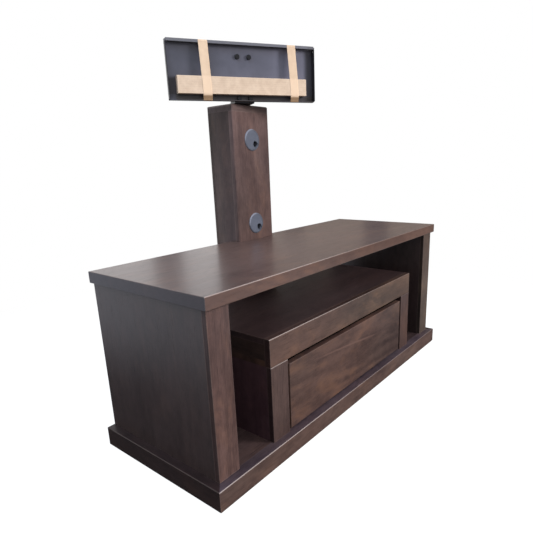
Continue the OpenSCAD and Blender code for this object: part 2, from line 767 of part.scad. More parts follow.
module bracket_pan() color(black_steel) turned()
    difference() {
        front_y = -pan_reach;
        union() {
            span([-pan_x, pan_x], [pan_inner_y, pan_back_y], [pan_z, pan_top]);
            for (z = [pan_z, pan_top - pan_t])
                span([-pan_x + lip_inset, pan_x - lip_inset], [front_y, pan_inner_y], [z, z + pan_t]);
            span([-pan_x + lip_inset, pan_x - lip_inset], [front_y, front_y + pan_t],
                [pan_top - top_lip_h, pan_top]);
            for (x = [-pan_x, pan_x - pan_t])
                span([x, x + pan_t], [front_y, pan_inner_y], [pan_z + lip_inset, pan_top - lip_inset]);
        }
        bolt_bores();
        translate([-pan_x - 1, front_y + lock_hole_back, pan_top - lock_hole_drop]) rotate([0, 90, 0])
            cylinder(h = pan_w + 2, r = lock_hole_d / 2);
    }
module bracket_bolt() {
    bolt_reach = pan_t + arm_t + bolt_nut_h + bolt_tail;
    cylinder(h = bolt_flange_t, r = bolt_flange_d / 2);
    hexagon(bolt_af, bolt_flange_t + bolt_head_h);
    translate([0, 0, -bolt_reach]) cylinder(h = bolt_reach, r = bolt_d / 2);
}
module bracket_bolts() color(black_steel) turned()
    for (p = bolt_places) translate([p[0], pan_inner_y, p[1]]) rotate([90, 0, 0]) bracket_bolt();
module bracket_nuts() color(zinc) turned()
    for (p = bolt_places) translate([p[0], pan_back_y + arm_t + bolt_nut_h, p[1]]) rotate([90, 0, 0])
        difference() {
            hexagon(bolt_af, bolt_nut_h);
            translate([0, 0, -1]) cylinder(h = bolt_nut_h + 2, r = bolt_d / 2 + bore_r);
        }

// Carton of fittings, laid on the lower bolts against the back of the pan and held by two tapes
carton_y = [pan_inner_y - carton_d, pan_inner_y];
carton_top = carton_z + carton_h;
module carton() color([0.86, 0.72, 0.58]) turned()
    span([carton_x - carton_w / 2, carton_x + carton_w / 2], carton_y, [carton_z, carton_top]);

// Places that the tape touches, in depth and height, from the pan's top round to its underside
tape_path = [
    [-pan_reach + tape_fold, pan_top], [-pan_reach, pan_top], [-pan_reach, pan_top - top_lip_h],
    [carton_y[0], carton_top], [carton_y[0], carton_z],
    [-pan_reach, pan_z + pan_t], [-pan_reach, pan_z], [-pan_reach + tape_fold, pan_z]
];

// Unit normal on the outer side of the stretch from p to q
function outward(p, q) = [p[1] - q[1], q[0] - p[0]] * -1 / norm(q - p);

// The path moved outwards by t, mitred at its corners
function moved_out(path, t) = [for (i = [0 : len(path) - 1])
    let (before = outward(path[max(i - 1, 0)], path[max(i, 1)]),
        after = outward(path[min(i, len(path) - 2)], path[min(i + 1, len(path) - 1)]),
        mid = before + after)
    path[i] + mid * 2 * t / (mid * mid)];
outer_path = moved_out(tape_path, tape_t);
module tape(x) color([0.91, 0.76, 0.60]) turned()
    translate([x - tape_w / 2, 0, 0]) rotate([90, 0, 90]) linear_extrude(tape_w)
        polygon(concat(tape_path, [for (i = [len(outer_path) - 1 : -1 : 0]) outer_path[i]]));
module left_tape() tape(tape_left_x);
module right_tape() tape(tape_right_x);

plinth_front_rail();
plinth_left_rail();
plinth_right_rail();
plinth_rear_rails();
plinth_bearers();
base_panel();
left_side_outer_board();
left_side_inner_board();
left_side_edging();
left_side_core_rails();
right_side_outer_board();
right_side_inner_board();
right_side_edging();
right_side_core_rails();
top_panel();
dowels();
inner_top_board();
inner_front_rail();
inner_under_board();
left_leg_outer_board();
left_leg_inner_board();
left_leg_stile();
right_leg_outer_board();
right_leg_inner_board();
right_leg_stile();
inner_core_rails();
inner_back_panel();
drawer_front();
drawer_box_front();
drawer_left_side();
drawer_right_side();
drawer_back();
drawer_bottom();
drawer_screws();
slide_cabinet_members();
slide_middle_members();
slide_drawer_members();
slide_screws();
column_front_board();
column_left_board();
column_right_board();
column_rear_board();
column_cap();
column_screws();
grommet_liners();
upper_grommet_cap();
lower_grommet_cap();
swivel_base_plate();
swivel_plate_screws();
friction_washer();
pivot_bolt();
pivot_washers();
pivot_nut();
swivel_arm();
bracket_pan();
bracket_bolts();
bracket_nuts();
carton();
left_tape();
right_tape();
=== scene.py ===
import math

import bmesh
import bpy
from mathutils import Matrix, Vector


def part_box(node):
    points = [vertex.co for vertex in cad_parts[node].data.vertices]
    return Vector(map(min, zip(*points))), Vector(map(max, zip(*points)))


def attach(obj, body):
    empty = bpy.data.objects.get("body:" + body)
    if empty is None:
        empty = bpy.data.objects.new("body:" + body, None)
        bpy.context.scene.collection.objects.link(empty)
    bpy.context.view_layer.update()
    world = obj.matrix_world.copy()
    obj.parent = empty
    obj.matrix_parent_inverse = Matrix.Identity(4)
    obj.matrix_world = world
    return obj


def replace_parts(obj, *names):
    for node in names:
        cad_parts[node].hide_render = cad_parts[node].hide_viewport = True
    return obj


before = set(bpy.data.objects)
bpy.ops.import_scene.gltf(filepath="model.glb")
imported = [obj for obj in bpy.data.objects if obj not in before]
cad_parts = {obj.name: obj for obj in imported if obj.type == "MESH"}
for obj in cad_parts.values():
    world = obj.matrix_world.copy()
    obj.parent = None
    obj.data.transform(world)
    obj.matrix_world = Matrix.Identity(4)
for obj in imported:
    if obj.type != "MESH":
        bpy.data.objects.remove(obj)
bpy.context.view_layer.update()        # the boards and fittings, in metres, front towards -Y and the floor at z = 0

scene = bpy.context.scene
scene.view_settings.view_transform = "Standard"


# Viewpoint: in front of the left end at about seated eye height, looking slightly down on the top
# panel, with the slight tilt and off-centre framing that the photograph's straight edges give.
photo_pixels = 533
focal_pixels = 455.15
film_width = 36
eye = Vector((-1.1799, -0.8900, 0.7518))
heading, dip, tilt = 0.89628, -0.26736, -0.033101
ahead = Vector((math.sin(heading) * math.cos(dip), math.cos(heading) * math.cos(dip), math.sin(dip)))
across = Vector((math.cos(heading), -math.sin(heading), 0))
upward = across.cross(ahead)
cam_right = math.cos(tilt) * across + math.sin(tilt) * upward
cam_up = -math.sin(tilt) * across + math.cos(tilt) * upward
camera = bpy.data.objects.new("camera", bpy.data.cameras.new("camera"))
scene.collection.objects.link(camera)
camera.matrix_world = Matrix.Translation(eye) @ Matrix((cam_right, cam_up, -ahead)).transposed().to_4x4()
camera.data.sensor_width = film_width
camera.data.lens = focal_pixels / photo_pixels * film_width
camera.data.shift_x = -0.0428
camera.data.shift_y = 0.0407
camera.data.clip_start = 0.01
camera.data.clip_end = 60
scene.camera = camera


# Plinth: a low frame of stained solid rails, mitred and glued at the front corners, round a stained
# base panel that lies flush with their tops. Raw pine bearers carry the base panel from below.
class Wire:
    """A pattern on its way through a finish; it can be added, scaled or turned round."""

    def __init__(self, tree, socket):
        self.tree = tree
        self.socket = socket

    def maths(self, operation, *values):
        return self.tree.node("ShaderNodeMath", {"operation": operation}, dict(enumerate(values)))

    def __add__(self, other):
        return self.maths("ADD", self, other)

    def __radd__(self, other):
        return self.maths("ADD", other, self)

    def __sub__(self, other):
        return self.maths("SUBTRACT", self, other)

    def __rsub__(self, other):
        return self.maths("SUBTRACT", other, self)

    def __mul__(self, other):
        return self.maths("MULTIPLY", self, other)

    def __rmul__(self, other):
        return self.maths("MULTIPLY", other, self)

    def smaller(self, other):
        return self.maths("MINIMUM", self, other)

    def larger(self, other):
        return self.maths("MAXIMUM", self, other)

    def size(self):
        return self.maths("ABSOLUTE", self)

    def wave(self):
        return self.maths("SINE", self)

    def step(self, low, high):
        """0 below low and 1 above high, with a soft rise; low may be above high."""
        return self.tree.node("ShaderNodeMapRange", {"interpolation_type": "SMOOTHSTEP"},
                              {"Value": self, "From Min": low, "From Max": high})

    def output(self, name):
        return Wire(self.tree, self.socket.node.outputs[name])


class Tree:
    """A node tree laid out in code."""

    def __init__(self, tree):
        self.tree = tree
        tree.nodes.clear()

    def node(self, kind, settings={}, sockets={}, give=0):
        made = self.tree.nodes.new(kind)
        for name, value in settings.items():
            setattr(made, name, value)
        for place, value in sockets.items():
            if isinstance(value, Wire):
                self.tree.links.new(value.socket, made.inputs[place])
            else:
                made.inputs[place].default_value = value
        return Wire(self, made.outputs[give]) if made.outputs else None


class Finish(Tree):
    """A finish for one piece or group, built from patterns that lie in the piece itself."""

    def __init__(self, name):
        self.material = bpy.data.materials.new(name)
        self.material.use_nodes = True
        super().__init__(self.material.node_tree)
        self.spot = self.node("ShaderNodeTexCoord", give="Object")
        self.place = self.node("ShaderNodeSeparateXYZ", {}, {0: self.spot})

    def laid(self, stretch=(1, 1, 1), jump=(0, 0, 0)):
        """The piece's own coordinates, stretched and moved along to another part of the pattern."""
        return self.node("ShaderNodeMapping", {}, {"Vector": self.spot, "Location": jump, "Scale": stretch})

    def noise(self, scale, detail=2, stretch=(1, 1, 1), jump=(0, 0, 0), rough=0.5, bend=0):
        return self.node("ShaderNodeTexNoise", {}, {
            "Vector": self.laid(stretch, jump), "Scale": scale, "Detail": detail,
            "Roughness": rough, "Distortion": bend})

    def mix(self, mask, first, second, way="MIX"):
        return self.node("ShaderNodeMix", {"data_type": "RGBA", "blend_type": way},
                         {0: mask, 6: first, 7: second}, give=2)

    def tinted(self, mask, colour, tone):
        """The colour, multiplied by a tone as far as the mask says."""
        return self.mix(mask, colour, self.mix(1.0, colour, (*tone, 1), "MULTIPLY"))

    def bump(self, height, depth, strength):
        return self.node("ShaderNodeBump", {}, {"Height": height, "Distance": depth, "Strength": strength})

    def coat(self, sockets):
        shader = self.node("ShaderNodeBsdfPrincipled", {}, sockets)
        self.node("ShaderNodeOutputMaterial", {}, {"Surface": shader})
        return self.material


def toned(colour, *gains):
    """A plain colour made lighter or darker, by one gain or by one each for red, green and blue."""
    if len(gains) == 1:
        gains = gains * 3
    return tuple(part * gain for part, gain in zip(colour, gains)) + (1,)


def worn_and_highlit_arris(finish, board, width, patchy):
    """Where the stain is rubbed thin along the arrises of a square-edged board, together with a painted highlight
    along them.
    """
    low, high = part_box(board)
    middle, half = (low + high) / 2, (high - low) / 2
    to_face = [half[i] - (finish.place.output("XYZ"[i]) - middle[i]).size() for i in range(3)]
    x, y, z = to_face
    to_arris = x.smaller(y).larger(x.larger(y).smaller(z))
    ragged = finish.noise(60, 3, jump=(half.x, half.y, half.z))
    return (to_arris + (ragged - 0.5) * width).step(width * 1.3, width * 0.5) * patchy


def painted_arris_line(finish, board, width):
    """The upper front arris of a board, eased, with a painted highlight along it that is strongest towards the left
    end.
    """
    low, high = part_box(board)
    to_front = (finish.place.output("Y") - low.y).size()
    to_top = (finish.place.output("Z") - high.z).size()
    faintest, starts, strongest = 0.15, 0.25, -0.40
    highlight_strength = finish.place.output("X").step(starts, strongest) * (1 - faintest) + faintest
    return to_front.larger(to_top).step(width, width * 0.6) * highlight_strength


def edge_face(finish, board, axis, end):
    """The edge face of a board at one end, - or +, of an axis."""
    skin = 0.0012
    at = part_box(board)[end == "+"]["xyz".index(axis)]
    return (finish.place.output(axis.upper()) - at).size().step(skin, skin / 3)


def stained(name, along, seed, ground, light, board=None, rough=0.40, level=0.25, contrast=1.0,
            figure=0.4, wiped=0.25, rub_and_highlight=0.5, lacquer=0.0, edges={}, arris_highlight=0.0, vein=None, light_gradient=None):
    """Espresso stain, wiped on over long-grained wood and sealed with satin lacquer.

    edges gives tones of painted light and shade to edge faces, each named as x- or z+, or as x for both ends. vein
    gives the ends of one pale vein in the grain. The last argument gives a painted gradient of light and shade: an
    axis, a start, an end and the tone reached there.
    """
    finish = Finish(name)
    grain = "xyz".index(along)

    def drawn(amount):
        """The stretch that draws a pattern out along the grain."""
        return tuple(amount if i == grain else 1.0 for i in range(3))

    jump = (0.37 * seed, 0.61 * seed + 0.2, 0.83 * seed + 0.4)
    cloud = finish.noise(4.6, 4, drawn(0.45), jump, rough=0.55)
    streak = finish.noise(34, 5, drawn(0.085), jump, rough=0.6, bend=0.4)
    flame = (finish.noise(3.4, 2, drawn(0.22), jump[::-1], rough=0.4) * 120).wave()
    fibre = finish.noise(430, 2, drawn(0.02), jump)
    mottle = finish.noise(64, 4, drawn(0.5), jump[::-1], rough=0.65)
    tone = ((cloud - 0.5) * 1.2 + (streak - 0.5) * 0.55 + (fibre - 0.5) * 0.4 + (mottle - 0.5) * 0.7
            + flame * (0.10 * figure))
    colour = finish.mix((tone * contrast + 0.45).step(0, 1), ground, light)
    thin = finish.noise(13, 5, drawn(0.45), (jump[2], jump[0], jump[1]), rough=0.68, bend=0.6)
    tan = toned(light, 1.60, 1.40, 1.08)
    colour = finish.mix((thin + flame * 0.03).step(0.48, 0.72) * wiped, colour, tan)
    cool = finish.noise(3.3, 3, drawn(0.6), (jump[1], jump[2], jump[0])).step(0.42, 0.66)
    colour = finish.tinted(cool * 0.45, colour, (0.82, 0.98, 1.04))
    pores = finish.noise(620, 1, drawn(0.03), jump).step(0.62, 0.72)
    colour = finish.mix(pores * 0.45, colour, toned(ground, 0.35))
    if vein:
        (x0, z0), (x1, z1) = vein
        x, z = finish.place.output("X"), finish.place.output("Z")
        off = ((x - x0) * ((z1 - z0) / (x1 - x0)) + z0 - z + (cloud - 0.5) * 0.02).size()
        ends = x.step(x0 - 0.03, x0 + 0.06) * x.step(x1 + 0.04, x1 - 0.08)
        colour = finish.mix(off.step(0.0045, 0.0005) * ends * 0.55, colour, toned(light, 1.45))
    # Painted light and shade: the board graded by a tone along one axis.
    if light_gradient:
        axis, start, end, tone = light_gradient
        colour = finish.tinted(finish.place.output(axis).step(start, end), colour, tone)
    # Painted light and shade on the edge faces.
    for face, tone in edges.items():
        for end in face[1:] or "-+":
            there = edge_face(finish, board, face[0], end)
            colour = finish.tinted(there, colour, tone)
            lacquer = (1 - there) * lacquer
    if board:
        # Arrises lightened: rubbed stain and a painted highlight together.
        bare_wood_and_highlight = (0.36, 0.27, 0.24, 1)
        colour = finish.mix(worn_and_highlit_arris(finish, board, width=0.0016, patchy=rub_and_highlight), colour, bare_wood_and_highlight)
    if arris_highlight:
        # Painted highlight along the upper front arris.
        painted_highlight = (0.60, 0.50, 0.47, 1)
        colour = finish.mix(painted_arris_line(finish, board, width=0.0022) * arris_highlight, colour, painted_highlight)
    gloss = rough + (cloud - 0.5) * 0.12 + (streak - 0.5) * 0.14 + pores * 0.12
    return finish.coat({
        "Base Color": colour, "Roughness": gloss, "Specular IOR Level": level,
        "Coat Weight": lacquer, "Coat Roughness": 0.22,
        "Normal": finish.bump(fibre * 0.4 - pores, depth=0.00025, strength=0.5)})


def raw_board(name, along, seed, ground, light):
    """Unfinished softwood or board, as sawn."""
    finish = Finish(name)
    stretch = tuple(0.06 if axis == along else 1.0 for axis in "xyz")
    grain = finish.noise(90, 5, stretch, (seed, 2 * seed, 0), rough=0.65, bend=0.6)
    saw = finish.noise(900, 2, stretch, (0, seed, seed))
    colour = finish.mix(((grain - 0.5) * 1.6 + (saw - 0.5) * 0.8 + 0.5).step(0, 1), ground, light)
    return finish.coat({"Base Color": colour, "Roughness": 0.7 + (grain - 0.5) * 0.2,
                        "Specular IOR Level": 0.25,
                        "Normal": finish.bump(grain + saw, depth=0.0002, strength=0.6)})


def dress(material, *names):
    """Gives carried-over boards or fittings their finish."""
    for name in names:
        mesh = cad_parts[name].data
        mesh.materials.clear()
        mesh.materials.append(material)


espresso_dark = (0.022, 0.013, 0.012, 1)
espresso_brown = (0.105, 0.060, 0.047, 1)
dress(stained("plinth_front_stain", "x", 1, (0.060, 0.035, 0.031, 1), (0.168, 0.102, 0.083, 1),
              "plinth_front_rail", rub_and_highlight=0.12, edges={"z+": (0.60, 0.68, 0.98)}, arris_highlight=0.5),
      "plinth_front_rail")
for side, seed in (("left", 2), ("right", 3)):
    rail = f"plinth_{side}_rail"
    dress(stained(f"plinth_{side}_stain", "y", seed, (0.017, 0.010, 0.010, 1), (0.048, 0.029, 0.027, 1), rail,
                  rub_and_highlight=0.1, edges={"z+": (0.75, 0.72, 0.80)}), rail)
dress(stained("plinth_rear_stain", "x", 4, espresso_dark, espresso_brown), "plinth_rear_rails")
dress(raw_board("bearer_pine", "y", 1, (0.42, 0.28, 0.16, 1), (0.62, 0.45, 0.28, 1)), "plinth_bearers")
dress(stained("base_panel_stain", "x", 5, (0.034, 0.021, 0.022, 1), (0.090, 0.056, 0.054, 1)),
      "base_panel")


# Side panels: hollow, built up from two boards on hidden core rails, with a solid edging glued on
# the front. The grain stands upright and the faces are satin.
side_dark = (0.021, 0.013, 0.013, 1)
side_light = (0.066, 0.042, 0.040, 1)
for side, seed, edging_tones in (
        ("left", 11, ((0.066, 0.038, 0.034, 1), (0.180, 0.105, 0.092, 1))),
        ("right", 21, ((0.060, 0.041, 0.033, 1), (0.160, 0.108, 0.086, 1)))):
    dress(stained(f"{side}_side_stain", "z", seed, side_dark, side_light, rough=0.37, level=0.5,
                  contrast=0.85, wiped=0.15),
          f"{side}_side_outer_board", f"{side}_side_inner_board")
    edging = f"{side}_side_edging"
    dress(stained(f"{side}_edging_stain", "z", seed + 3, *edging_tones, edging, rub_and_highlight=0.2,
                  edges={"x": (0.42, 0.44, 0.48)}), edging)
    dress(stained(f"{side}_core_stain", "z", seed + 6, side_dark, side_light), f"{side}_side_core_rails")


# Top panel: one thick stained panel, notched at the back for the column. It has the glossiest
# lacquer on the stand, so the column and the light behind it show in it.
dress(stained("top_stain", "x", 31, (0.055, 0.033, 0.031, 1), (0.118, 0.073, 0.064, 1), "top_panel",
              rough=0.34, level=0.45, contrast=0.8, rub_and_highlight=0.1, lacquer=0.4,
              edges={"x": (0.36, 0.44, 0.62), "y-": (1.45, 1.32, 1.14)}, arris_highlight=0.36), "top_panel")


# Dowels: beech pins glued into blind holes. They join the side panels to the base panel and the top,
# the legs to the base panel and the slab, and the cap to the column.
finish = Finish("dowel_beech")
flecks = finish.noise(1400, 2, (1, 0.2, 1)).step(0.55, 0.7)
dowel_grain = finish.noise(240, 4, (0.15, 1, 1))
beech = finish.mix(dowel_grain, (0.50, 0.34, 0.20, 1), (0.70, 0.54, 0.37, 1))
dress(finish.coat({
    "Base Color": finish.mix(flecks * 0.5, beech, (0.38, 0.22, 0.12, 1)),
    "Roughness": 0.6 + dowel_grain * 0.15, "Specular IOR Level": 0.3,
    "Normal": finish.bump(dowel_grain, depth=0.0002, strength=0.5)}), "dowels")


# Inner unit: a slab of top board, front rail and underside board on two hollow legs, with a panel
# behind the drawer. The boards are glued to hidden core rails, and the fronts are lighter.
shaded_ends = (0.3, 0.28, 0.34)
dress(stained("slab_top_stain", "x", 41, (0.030, 0.018, 0.019, 1), (0.070, 0.042, 0.041, 1),
              "inner_top_board", rough=0.46, level=0.15, contrast=0.8, wiped=0.1, rub_and_highlight=0.08),
      "inner_top_board")
dress(stained("slab_rail_stain", "x", 42, (0.050, 0.029, 0.024, 1), (0.141, 0.083, 0.066, 1),
              "inner_front_rail", wiped=0.35, rub_and_highlight=0.12, light_gradient=("X", -0.25, 0.18, (1.26, 1.25, 1.10)),
              edges={"x": shaded_ends, "z+": (0.55, 0.53, 0.6)}, arris_highlight=0.5),
      "inner_front_rail")
dress(stained("slab_under_stain", "x", 43, espresso_dark, espresso_brown), "inner_under_board")
for side, seed, gain in (("left", 44, 1.0), ("right", 47, 0.82)):
    dress(stained(f"{side}_leg_board_stain", "z", seed, (0.028, 0.014, 0.019, 1), (0.078, 0.042, 0.050, 1)),
          f"{side}_leg_outer_board", f"{side}_leg_inner_board")
    stile = f"{side}_leg_stile"
    dress(stained(f"{side}_stile_stain", "z", seed + 1, toned((0.054, 0.032, 0.029), gain),
                  toned((0.140, 0.083, 0.071), gain), stile, rub_and_highlight=0.1, edges={"x": shaded_ends}, arris_highlight=0.45),
          stile)
dress(stained("inner_core_stain", "y", 9, espresso_dark, (0.065, 0.040, 0.034, 1), level=0.2),
      "inner_core_rails")
dress(stained("back_panel_stain", "x", 49, espresso_dark, (0.06, 0.037, 0.032, 1)),
      "inner_back_panel")


# Drawer: a solid front with soft flame figure, screwed from inside to a box of matt stained boards
# whose thin bottom runs in a groove.
dress(stained("drawer_front_stain", "x", 51, (0.048, 0.028, 0.025, 1), (0.132, 0.077, 0.063, 1),
              "drawer_front", figure=1.0, wiped=0.5, rub_and_highlight=0.1, edges={"z+": (0.78, 0.76, 0.80)},
              vein=((-0.1985, 0.2131), (0.1422, 0.1793))), "drawer_front")
for label, along, seed, boards in (("rail", "x", 52, ("drawer_box_front", "drawer_back")),
                                   ("side", "y", 53, ("drawer_left_side", "drawer_right_side"))):
    dress(stained(f"drawer_{label}_stain", along, seed, (0.040, 0.027, 0.023, 1), (0.12, 0.078, 0.062, 1),
                  rough=0.55), *boards)
dress(stained("drawer_bottom_stain", "y", 55, (0.055, 0.037, 0.030, 1), (0.13, 0.09, 0.072, 1),
              rough=0.6, contrast=0.6), "drawer_bottom")


# Drawer slides: three nested channels a side, rolled from zinc-plated steel strip. The outer one is
# screwed to the leg, the inner one to the drawer's side, and the middle one runs between them.
def zinc_plate(name, stretch, rough=0.34):
    """Zinc plating with a faint spangle and fine rolling marks."""
    finish = Finish(name)
    rolled = finish.noise(700, 2, stretch)
    bloom = finish.noise(38, 4, rough=0.6)
    spangle = finish.node("ShaderNodeTexVoronoi", {}, {"Vector": finish.laid(), "Scale": 420}, give="Color")
    colour = finish.mix(bloom.step(0.35, 0.7), (0.50, 0.51, 0.53, 1), (0.66, 0.67, 0.68, 1))
    colour = finish.mix(0.12, colour, spangle, "MULTIPLY")
    return finish.coat({"Base Color": colour, "Metallic": 1.0,
                        "Roughness": rough + (bloom - 0.5) * 0.22 + (rolled - 0.5) * 0.12,
                        "Normal": finish.bump(rolled, depth=0.00005, strength=0.4)})


slide_zinc = zinc_plate("slide_zinc", (1, 0.02, 1))
dress(slide_zinc, "slide_cabinet_members", "slide_middle_members", "slide_drawer_members")


# Wood screws: zinc-plated, countersunk, with a cross recess and a rolled thread. They hold the
# slides, the drawer front, the column and the swivel plate.
screw_zinc = zinc_plate("screw_zinc", (1, 1, 1), rough=0.3)
screw_tree = bpy.data.node_groups.new("wood_screws", "GeometryNodeTree")
for label, kind in (("Places", "NodeSocketGeometry"), ("Head radius", "NodeSocketFloat"),
                    ("Head height", "NodeSocketFloat"), ("Shank radius", "NodeSocketFloat"),
                    ("Length", "NodeSocketFloat"), ("Thread turns", "NodeSocketFloat"),
                    ("Finish", "NodeSocketMaterial")):
    screw_tree.interface.new_socket(label, in_out="INPUT", socket_type=kind)
screw_tree.interface.new_socket("Screws", in_out="OUTPUT", socket_type="NodeSocketGeometry")
made = Tree(screw_tree)
given = made.node("NodeGroupInput")
head_radius, head_height = given.output("Head radius"), given.output("Head height")
shank_radius, whole = given.output("Shank radius"), given.output("Length")


def moved(shape, z, turn=(0, 0, 0)):
    """Lifts or lowers a shape in the tree."""
    lift = made.node("ShaderNodeCombineXYZ", {}, {"Z": z})
    return made.node("GeometryNodeTransform", {}, {"Geometry": shape, "Translation": lift, "Rotation": turn})


head = moved(made.node("GeometryNodeMeshCone", {}, {
    "Vertices": 24, "Radius Top": head_radius, "Radius Bottom": shank_radius, "Depth": head_height}),
    head_height * -1)
slot_size = made.node("ShaderNodeCombineXYZ", {}, {
    "X": head_radius * 1.15, "Y": head_radius * 0.24, "Z": head_height * 0.9})
slot = made.node("GeometryNodeMeshCube", {}, {"Size": slot_size})
crossed = moved(slot, 0.0, (0, 0, math.pi / 2))
head = made.node("GeometryNodeMeshBoolean", {"operation": "DIFFERENCE", "solver": "EXACT"},
                 {"Mesh 1": head, "Mesh 2": slot})
screw_tree.links.new(crossed.socket, head.socket.node.inputs["Mesh 2"])
tip_length = shank_radius * 2.6
core = shank_radius * 0.74
shank = moved(made.node("GeometryNodeMeshCone", {}, {
    "Vertices": 16, "Radius Top": core, "Radius Bottom": core,
    "Depth": whole - head_height - tip_length}), (whole - tip_length) * -1)
tip = moved(made.node("GeometryNodeMeshCone", {}, {
    "Vertices": 16, "Radius Top": core, "Radius Bottom": 0.0001, "Depth": tip_length}), whole * -1)
helix = made.node("GeometryNodeCurveSpiral", {}, {
    "Resolution": 14, "Rotations": given.output("Thread turns"), "Start Radius": core,
    "End Radius": core, "Height": (whole - head_height) * 0.72})
ridge = made.node("GeometryNodeCurvePrimitiveCircle", {}, {
    "Resolution": 4, "Radius": shank_radius - core})
thread = moved(made.node("GeometryNodeCurveToMesh", {}, {
    "Curve": helix, "Profile Curve": ridge, "Fill Caps": True}), (whole - tip_length) * -1)
joined = made.node("GeometryNodeJoinGeometry")
for part in (thread, tip, shank, head):
    screw_tree.links.new(part.socket, joined.socket.node.inputs[0])
facing = made.node("GeometryNodeInputNamedAttribute", {"data_type": "FLOAT_VECTOR"}, {"Name": "facing"})
aimed = made.node("FunctionNodeAlignRotationToVector", {"axis": "Z"}, {"Vector": facing})
driven = made.node("FunctionNodeRandomValue", {"data_type": "FLOAT"},
                   {2: 0.0, 3: math.tau, "Seed": 7}, give=1)
spun = made.node("FunctionNodeAxisAngleToRotation", {}, {"Angle": driven})
aimed = made.node("FunctionNodeRotateRotation", {"rotation_space": "LOCAL"},
                  {"Rotation": aimed, "Rotate By": spun})
set_in = made.node("GeometryNodeInstanceOnPoints", {}, {
    "Points": given.output("Places"), "Instance": joined, "Rotation": aimed})
real = made.node("GeometryNodeRealizeInstances", {}, {"Geometry": set_in})
finished = made.node("GeometryNodeSetMaterial", {}, {"Geometry": real, "Material": given.output("Finish")})
made.node("NodeGroupOutput", {}, {"Screws": finished})


def screws(name, body, places, sizes):
    """Sets screws of one size; each place is (point on the head, way the head faces)."""
    mesh = bpy.data.meshes.new(name)
    mesh.from_pydata([place for place, way in places], [], [])
    facings = mesh.attributes.new("facing", "FLOAT_VECTOR", "POINT")
    for entry, (place, way) in zip(facings.data, places):
        entry.vector = way
    holder = bpy.data.objects.new(name + "_places", mesh)
    scene.collection.objects.link(holder)
    modifier = holder.modifiers.new("screws", "NODES")
    modifier.node_group = screw_tree
    inputs = {item.name: item.identifier for item in screw_tree.interface.items_tree
              if item.in_out == "INPUT"}
    for label, value in sizes.items():
        modifier[inputs[label]] = float(value)
    modifier[inputs["Finish"]] = screw_zinc
    ready = holder.evaluated_get(bpy.context.evaluated_depsgraph_get())
    piece = bpy.data.objects.new(name, bpy.data.meshes.new_from_object(ready))
    scene.collection.objects.link(piece)
    bpy.data.objects.remove(holder)
    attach(piece, body)
    return piece


slide_screw = {"Head radius": 0.0035, "Head height": 0.0015, "Shank radius": 0.002,
               "Length": 0.013, "Thread turns": 7}
board_screw = {"Head radius": 0.004, "Head height": 0.003, "Shank radius": 0.002,
               "Length": 0.028, "Thread turns": 12}
plate_screw = {"Head radius": 0.005, "Head height": 0.003, "Shank radius": 0.0025,
               "Length": 0.017, "Thread turns": 7}
outer_channel_x, inner_channel_x = 0.3365, 0.3265
slide_y = (-0.1205, 0.0895)
slide_z = 0.142
cabinet_screws = screws("cabinet_slide_screws", "cabinet", [
    ((side * outer_channel_x, y, slide_z), (-side, 0, 0)) for side in (-1, 1) for y in slide_y], slide_screw)
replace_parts(cabinet_screws, "slide_screws")
box_screws = screws("drawer_slide_screws", "drawer", [
    ((side * inner_channel_x, y, slide_z), (side, 0, 0)) for side in (-1, 1) for y in slide_y], slide_screw)
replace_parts(box_screws, "drawer_screws")
box_inside_y = -0.1715
front_screws = screws("drawer_front_screws", "drawer", [
    ((x, box_inside_y, z), (0, 1, 0)) for x in (-0.2, 0.2) for z in (0.107, 0.177)], board_screw)
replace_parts(front_screws, "drawer_screws")
duct_front_y, column_rear_y = 0.2085, 0.3065
post_screws = screws("column_board_screws", "cabinet", [
    *(((x, duct_front_y, z), (0, 1, 0)) for x in (-0.0435, 0.0435) for z in (0.150, 0.3015, 0.4845)),
    *(((x, column_rear_y, z), (0, 1, 0)) for x in (-0.079, 0.079) for z in (0.060, 0.33267, 0.60533, 0.878))],
    board_screw)
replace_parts(post_screws, "column_screws")
column_axis_y, column_top = 0.2495, 0.940
plate_screws = screws("plate_screws", "cabinet", [
    ((x, column_axis_y + y, column_top), (0, 0, 1)) for x in (-0.04, 0.04) for y in (-0.028, 0.028)],
    plate_screw)
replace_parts(plate_screws, "swivel_plate_screws")


# Column: four upright stained boards round a cable duct, closed by a thick doweled cap. It is screwed
# from inside to the inner unit and the top, and its rear board is screwed on last.
dress(stained("column_front_stain", "z", 61, (0.058, 0.035, 0.033, 1), (0.146, 0.090, 0.080, 1),
              "column_front_board", figure=0.6, wiped=0.22, rub_and_highlight=0.2,
              light_gradient=("Z", 0.55, 0.92, (1.42, 1.44, 1.48)), edges={"x": (0.86, 0.86, 0.88)}),
      "column_front_board")
for side, seed in (("left", 62), ("right", 63)):
    dress(stained(f"column_{side}_stain", "z", seed, (0.052, 0.036, 0.034, 1), (0.130, 0.090, 0.082, 1),
                  light_gradient=("Y", 0.268, 0.236, (0.82, 0.76, 0.79))), f"column_{side}_board")
dress(stained("column_rear_stain", "z", 64, (0.035, 0.022, 0.019, 1), (0.10, 0.064, 0.053, 1)),
      "column_rear_board")
dress(stained("column_cap_stain", "x", 65, (0.090, 0.058, 0.054, 1), (0.225, 0.148, 0.134, 1),
              "column_cap", rub_and_highlight=0.0, edges={"x": (0.62, 0.65, 0.69)}), "column_cap")


